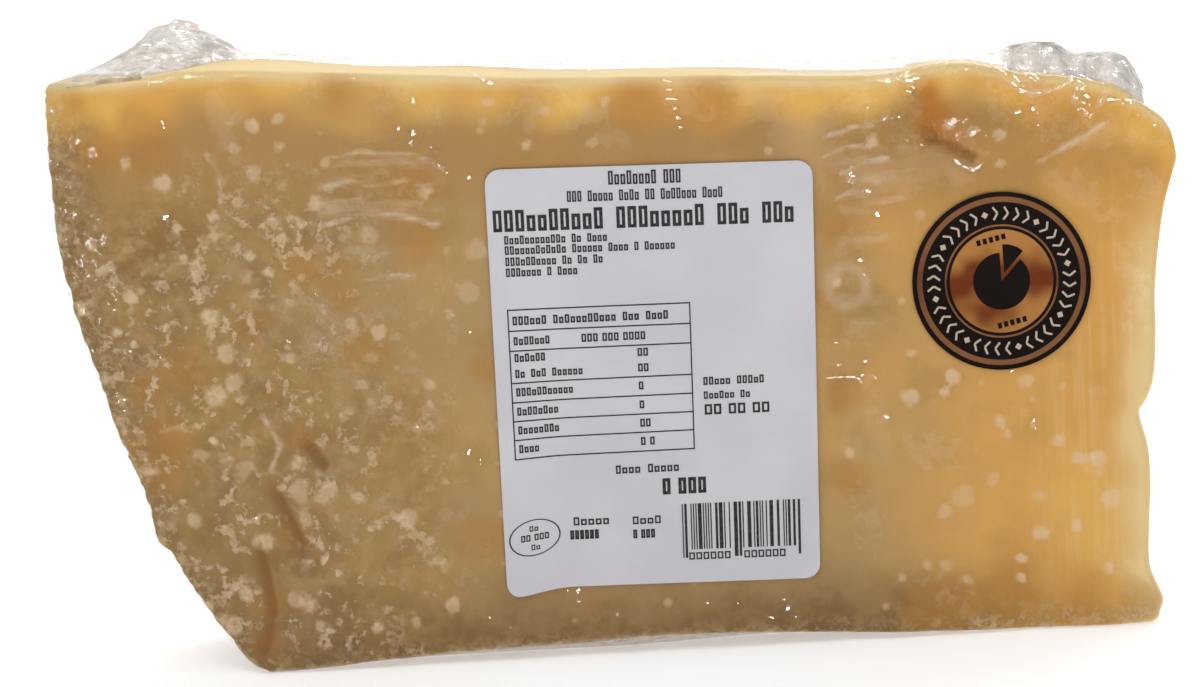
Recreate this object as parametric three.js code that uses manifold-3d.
// A vacuum-packed wedge of long-aged hard cheese: one bag with its cheese, a weight label and a
// round sticker. Millimetres, +Z up. The wedge stands on the wheel's flat rind. The front cut
// faces -Y, the thin tip points to +X, and the convex heel, the wheel's side rind, to -X.
// While it is shaped, the two cuts meet in the upright line x = 0, y = 0, and a point is told by
// its distance r from that line and its height z.
import * as THREE from 'three'
import { mergeVertices } from 'three/addons/utils/BufferGeometryUtils.js'
import Module from 'manifold-3d'

const wasm = await Module()
wasm.setup()

const WEDGE_ANGLE = THREE.MathUtils.degToRad(12) // between the front cut and the back cut
const HEIGHT = 119.2 // at the heel
const TIP_HEIGHT = 102 // what the top has come down to at the tip
const EDGE_RADIUS = { base: 2.6, top: 2, upright: 2.6 } // film drawn tight over the edges
const BASE_ARCH = { rise: 3.2, from: 76, to: 232, depth: 10, fade: 30 } // hollow under the front edge
const GAP = 0.3 // between the bag and what is stuck on it
const SKIN = 0.3 // thickness of the label and the sticker

// The wedge's side lines as [height, r], and its top line as [r, height].
const HEEL_LINE = [[0, 221.8], [3, 225.3], [12, 232], [24.5, 238.8], [37, 243.4], [49, 247.2], [61, 250.6],
  [73, 253.9], [85, 256.1], [97, 257], [109, 257.2], [119.2, 256.6]]
const TIP_LINE = [[0, 45], [2.5, 44.3], [5, 43.6], [8, 44.8], [12, 46], [20, 45.5], [28, 45], [34, 45.2],
  [37.5, 46], [41, 46.8], [44, 45.3], [49, 43.8], [58, 43], [66, 42.7], [82, 40.9], [92, 38.7], [97, 37.8],
  [102, 38.9]]
const TOP_LINE = [[37, 97.4], [38.1, 98.8], [40.6, 101.4], [44.9, 104.6], [48.1, 107.1], [52, 108.5],
  [59.7, 110.2], [67.4, 111.1], [71.3, 112.3], [77, 113.4], [83, 113.6], [88, 113.1], [91.5, 112.3],
  [98.5, 112.3], [110, 112.8], [125.6, 113.9], [156.6, 115.4], [187.6, 117.5], [205, 119], [220, 120.2],
  [230, 120.6], [236.5, 119.9], [246, 119.5], [258, 119.8]]

// The loose film that stands on the back of the top, as [r, height over the top]: a low fold
// between an ear at the tip and a taller ear at the heel.
const FOLD = { thickness: 1.2, inset: 4, sunk: 4, step: 2.4, wave: 1.3, pleat: 11 }
const FOLD_LINE = [[43, 3], [45.5, 6.4], [50, 5.4], [56, 4], [61, 5.4], [66, 5.2], [70, 3], [74, 1.7],
  [96, 2.2], [126, 2], [176, 1.6], [221, 1.6], [228, 2.8], [233, 6.3], [239, 9.9], [245, 8.8], [250, 4.5],
  [253.5, 1.2]]

const LABEL = { width: 64, height: 84, corner: 3, r: 141.5, z: 54.5, turn: THREE.MathUtils.degToRad(-1.2) }
const STICKER = { radius: 17.5, r: 72.8, z: 70.2 }

// What the front cut's relief is made of, in millimetres towards -Y. It fades out through the
// wedge's depth, to nothing at the back cut.
const UNDULATION = { height: 0.5, wavelength: 42 }
const CRAGS = { height: 0.7, wavelength: 13 }
const HEEL_FALL = { depth: 1.6, width: 14 } // the cut rounds off towards the rind
const CHIP = { depth: 2.4, width: 9, top: 46, fade: 8, r: 222, lean: 0.34 } // broken low corner
const BUMPS = [
  { r: 82, z: 103, size: 5.5, height: -2.6 }, // hollow where a flake broke out
  { r: 78, z: 110, size: 6, height: 1.3 }, // lump over it
  { r: 190, z: 84, size: 16, height: -0.7 },
  { r: 214, z: 60, size: 12, height: 0.8 },
]
const RIND_WAVE = { height: 0.6, wavelength: 30 } // the other sides are smoother
const PINCH = { z: 28.6, size: 3.2, height: 1.9 } // of film, on the heel's front edge

const COUNT = { front: 42, rind: 6, corner: 3, wall: 22, cap: 2 } // steps on each stretch
const { lerp, smoothstep, clamp } = THREE.MathUtils
const QUARTER = Math.PI / 2
const bell = distance => Math.exp(-distance * distance)
const steps = (count, make) => Array.from({ length: count }, (_, i) => make(i))

// Reads a height off the smooth curve through the points of a line.
function line(points) {
  const curve = new THREE.SplineCurve(points.map(([at, value]) => new THREE.Vector2(at, value)))
  const table = curve.getPoints(points.length * 12)
  return at => {
    const above = table.findIndex(point => point.x > at)
    const next = above < 0 ? table.length - 1 : Math.max(above, 1)
    const [a, b] = [table[next - 1], table[next]]
    return lerp(a.y, b.y, clamp((at - a.x) / (b.x - a.x), 0, 1))
  }
}
const heelRadius = line(HEEL_LINE)
const tipRadius = line(TIP_LINE)
const topHeight = line(TOP_LINE)
const foldHeight = line(FOLD_LINE)

// Smooth noise from -1 to 1, between seeded values on a square lattice.
function lattice(i, j, seed) {
  let n = Math.imul(i, 374761393) + Math.imul(j, 668265263) + Math.imul(seed, 974634777)
  n = Math.imul(n ^ (n >>> 13), 1274126177)
  return ((n ^ (n >>> 16)) >>> 0) / 2147483648 - 1
}
function noise(x, y, seed) {
  const i = Math.floor(x)
  const j = Math.floor(y)
  const across = smoothstep(x - i, 0, 1)
  const low = lerp(lattice(i, j, seed), lattice(i + 1, j, seed), across)
  const high = lerp(lattice(i, j + 1, seed), lattice(i + 1, j + 1, seed), across)
  return lerp(low, high, smoothstep(y - j, 0, 1))
}

// 0 under the label and the sticker, where the film lies smooth, and 1 away from them.
function bareness(r, z) {
  const besideLabel = Math.abs(r - LABEL.r) - LABEL.width / 2
  const overLabel = Math.abs(z - LABEL.z) - LABEL.height / 2
  const fromSticker = Math.hypot(r - STICKER.r, z - STICKER.z) - STICKER.radius
  return smoothstep(Math.min(Math.max(besideLabel, overLabel), fromSticker), 2, 10)
}

function frontRelief(r, z) {
  let out = UNDULATION.height * noise(r / UNDULATION.wavelength, z / UNDULATION.wavelength, 3)
  out += CRAGS.height * noise(r / CRAGS.wavelength, z / CRAGS.wavelength, 7) * bareness(r, z)
  out -= HEEL_FALL.depth * smoothstep(r, heelRadius(z) - HEEL_FALL.width, heelRadius(z))
  const crease = CHIP.r - CHIP.lean * z
  const low = 1 - smoothstep(z, CHIP.top - CHIP.fade, CHIP.top + CHIP.fade)
  out -= CHIP.depth * low * smoothstep(r, crease, crease + CHIP.width)
  for (const bump of BUMPS) {
    out += bump.height * bell(Math.hypot(r - bump.r, z - bump.z) / bump.size)
  }
  return out
}

// A closed skin through rings of equal count. Each ring starts on the line that halves it, so
// the first and the last ring are closed by rungs across that line.
function loft(rings) {
  const count = rings[0].length
  const index = []
  const face = (...corners) => {
    if (new Set(corners).size === 3) index.push(...corners)
  }
  for (let k = 0; k < rings.length - 1; k++) {
    for (let i = 0; i < count; i++) {
      const [a, b] = [k * count + i, k * count + (i + 1) % count]
      face(a, b, b + count)
      face(a, b + count, a + count)
    }
  }
  const end = (rings.length - 1) * count
  for (let i = 0; i < count / 2; i++) {
    const [a, b, c, d] = [i, i + 1, count - i - 1, (count - i) % count]
    face(a, c, b)
    face(a, d, c)
    face(end + a, end + b, end + c)
    face(end + a, end + c, end + d)
  }
  return new THREE.BufferGeometry().setFromPoints(rings.flat()).setIndex(index)
}

// Half an outline from its halving line round to that line again, and the mirrored other half.
function wholeOutline(half, mirror) {
  return [...half, ...half.slice(1, -1).reverse().map(mirror)]
}
const direction = angle => new THREE.Vector2(Math.cos(angle), Math.sin(angle))
function arc(centre, radius, from, to) {
  return steps(COUNT.corner + 1, i => {
    const facing = lerp(from, to, i / COUNT.corner)
    return { at: direction(facing).multiplyScalar(radius).add(centre), facing }
  })
}
function straight(a, b, count) {
  return steps(count - 1, i => ({ at: a.at.clone().lerp(b.at, (i + 1) / count), facing: a.facing }))
}

// One level of the wedge from above, as points and the way that they face, with +X along the
// wedge from the line where its cuts meet: rind, heel's corner, cut, tip's corner, tip.
function section(outer, inner, inset) {
  const half = WEDGE_ANGLE / 2
  const rounding = EDGE_RADIUS.upright
  const heel = half - Math.asin(rounding / (outer - rounding))
  const tip = half - Math.asin(rounding / (inner + rounding))
  const corner = (r, angle, from, to) => arc(direction(-angle).multiplyScalar(r), rounding - inset, from, to)
  const heelCorner = corner(outer - rounding, heel, -heel, -half - QUARTER)
  const tipCorner = corner(inner + rounding, tip, -half - QUARTER, -tip - 2 * QUARTER)
  const rind = steps(COUNT.rind, i => {
    const facing = -heel * i / COUNT.rind
    return { at: direction(facing).multiplyScalar(outer - inset), facing }
  })
  const cut = straight(heelCorner.at(-1), tipCorner[0], COUNT.front)
  const end = { at: new THREE.Vector2(inner + inset, 0), facing: -2 * QUARTER }
  const front = [...rind, ...heelCorner, ...cut, ...tipCorner, end]
  return wholeOutline(front, ({ at, facing }) => ({ at: new THREE.Vector2(at.x, -at.y), facing: -facing }))
}

// The levels from the middle of the base, round its edge, up the walls and over the top. The
// caps squeeze the last outline towards its halving line.
function levels() {
  const edge = radius => steps(COUNT.corner + 1, i => {
    const turn = QUARTER * i / COUNT.corner
    return { height: radius * (1 - Math.cos(turn)), inset: radius * (1 - Math.sin(turn)), squeeze: 1 }
  })
  const base = edge(EDGE_RADIUS.base)
  const top = edge(EDGE_RADIUS.top).map(level => ({ ...level, height: HEIGHT - level.height })).reverse()
  const wall = steps(COUNT.wall - 1, i => {
    const height = lerp(EDGE_RADIUS.base, HEIGHT - EDGE_RADIUS.top, (i + 1) / COUNT.wall)
    return { height, inset: 0, squeeze: 1 }
  })
  const cap = level => steps(COUNT.cap, i => ({ ...level, squeeze: (i + 1) / (COUNT.cap + 1) }))
  return [...cap(base[0]), ...base, ...wall, ...top, ...cap(top.at(-1)).reverse()]
}

function ring({ height, inset, squeeze }) {
  const outline = section(heelRadius(height), tipRadius(height * TIP_HEIGHT / HEIGHT), inset)
  return outline.map(({ at, facing }) => {
    const angle = Math.atan2(at.y * squeeze, at.x) + WEDGE_ANGLE / 2
    const r = Math.hypot(at.x, at.y * squeeze)
    const point = new THREE.Vector3(-r * Math.cos(angle), r * Math.sin(angle), 0)
    const outward = direction(facing + WEDGE_ANGLE / 2)
    const z = height * topHeight(r) / HEIGHT
    const towardsFront = Math.max(0, -outward.y) ** 2
    const plain = RIND_WAVE.height * noise((r + point.y) / RIND_WAVE.wavelength, z / RIND_WAVE.wavelength, 5)
    const pinch = PINCH.height * bell((z - PINCH.z) / PINCH.size) * Math.max(0, outward.x) ** 4
    const out = (plain * (1 - towardsFront) + pinch) * (1 - inset / EDGE_RADIUS.upright)
    const forward = frontRelief(r, z) * (1 - angle / WEDGE_ANGLE)
    const span = clamp((r - BASE_ARCH.from) / (BASE_ARCH.to - BASE_ARCH.from), 0, 1)
    const lift = BASE_ARCH.rise * Math.sin(Math.PI * span) ** 2
      * (1 - smoothstep(point.y, 0, BASE_ARCH.depth)) * (1 - smoothstep(z, 0, BASE_ARCH.fade))
    return new THREE.Vector3(point.x - outward.x * out, point.y + outward.y * out - forward, z + lift)
  })
}

// The fold of loose film: a thin wavy plate, sunk into the top along its back edge.
function foldRings() {
  const [first, last] = [FOLD_LINE[0][0], FOLD_LINE.at(-1)[0]]
  const count = Math.round((last - first) / FOLD.step)
  const rise = [-FOLD.sunk, 0, 0.5, 1]
  return steps(count + 1, i => {
    const r = lerp(first, last, i / count)
    const tall = foldHeight(r)
    const half = rise.map(share => {
      const over = share < 0 ? share : share * tall
      const wave = FOLD.wave * noise(r / FOLD.pleat + share * 0.6, share, 11) * Math.min(1, tall / 4)
      return { over, wave }
    })
    const side = (shift) => half.map(({ over, wave }) => {
      const across = wave + shift - FOLD.inset
      const x = -r * Math.cos(WEDGE_ANGLE) + across * Math.sin(WEDGE_ANGLE)
      const y = r * Math.sin(WEDGE_ANGLE) + across * Math.cos(WEDGE_ANGLE)
      return new THREE.Vector3(x, y, topHeight(r) + over)
    })
    return [...side(-FOLD.thickness / 2), ...side(FOLD.thickness / 2).reverse()]
  })
}

// A skin that lies on the front cut, from an outline in its own plane.
function patch(outline, { r, z, turn = 0 }) {
  const spread = [0.12, 0.3, 0.5, 0.7, 0.86, 1]
  const layer = (share, proud) => outline.map(({ at }) => {
    const place = at.clone().multiplyScalar(share).rotateAround(new THREE.Vector2(), turn)
    const far = r - place.x
    const height = z + place.y
    return new THREE.Vector3(-far, -frontRelief(far, height) - proud, height)
  })
  const front = spread.map(share => layer(share, GAP + SKIN))
  const back = spread.map(share => layer(share, GAP)).reverse()
  return loft([...front, ...back])
}

function labelOutline() {
  const { corner } = LABEL
  const [x, y] = [LABEL.width / 2, LABEL.height / 2]
  const topCorner = arc(new THREE.Vector2(x - corner, y - corner), corner, QUARTER, 0)
  const lowCorner = arc(new THREE.Vector2(x - corner, corner - y), corner, 0, -QUARTER)
  const top = { at: new THREE.Vector2(0, y), facing: QUARTER }
  const low = { at: new THREE.Vector2(0, -y), facing: -QUARTER }
  const side = straight(topCorner.at(-1), lowCorner[0], 12)
  const right = [top, ...straight(top, topCorner[0], 5), ...topCorner, ...side, ...lowCorner,
    ...straight(lowCorner.at(-1), low, 5), low]
  return wholeOutline(right, ({ at }) => ({ at: new THREE.Vector2(-at.x, at.y) }))
}

function stickerOutline() {
  const count = 36
  return steps(count, i => {
    const at = direction(QUARTER - 2 * Math.PI * i / count).multiplyScalar(STICKER.radius)
    return { at }
  })
}

// manifold-3d joins the fold to the bag.
function solid(geometry) {
  const welded = mergeVertices(geometry)
  const vertProperties = welded.attributes.position.array
  return new wasm.Manifold(new wasm.Mesh({ numProp: 3, vertProperties, triVerts: welded.index.array }))
}
function geometryOf(manifold) {
  const { vertProperties, triVerts } = manifold.getMesh()
  return new THREE.BufferGeometry()
    .setAttribute('position', new THREE.BufferAttribute(vertProperties, 3))
    .setIndex(new THREE.BufferAttribute(triVerts, 1))
}

function part(name, geometry, colour, roughness) {
  const material = new THREE.MeshStandardMaterial({ color: colour, roughness, metalness: 0 })
  const mesh = new THREE.Mesh(geometry, material)
  mesh.name = name
  return mesh
}

const bag = solid(loft(levels().map(ring))).add(solid(loft(foldRings())))
const group = new THREE.Group()
group.add(part('vacuum_pack', geometryOf(bag), 0xb9935f, 0.25))
group.add(part('weight_label', patch(labelOutline(), LABEL), 0xd0cfd4, 0.6))
group.add(part('round_sticker', patch(stickerOutline(), STICKER), 0x2a1a16, 0.35))

// The origin is the middle of the footprint of the whole part's box.
const box = new THREE.Box3().setFromObject(group)
const middle = box.getCenter(new THREE.Vector3())
group.position.set(-middle.x, -middle.y, -box.min.z)

export default group
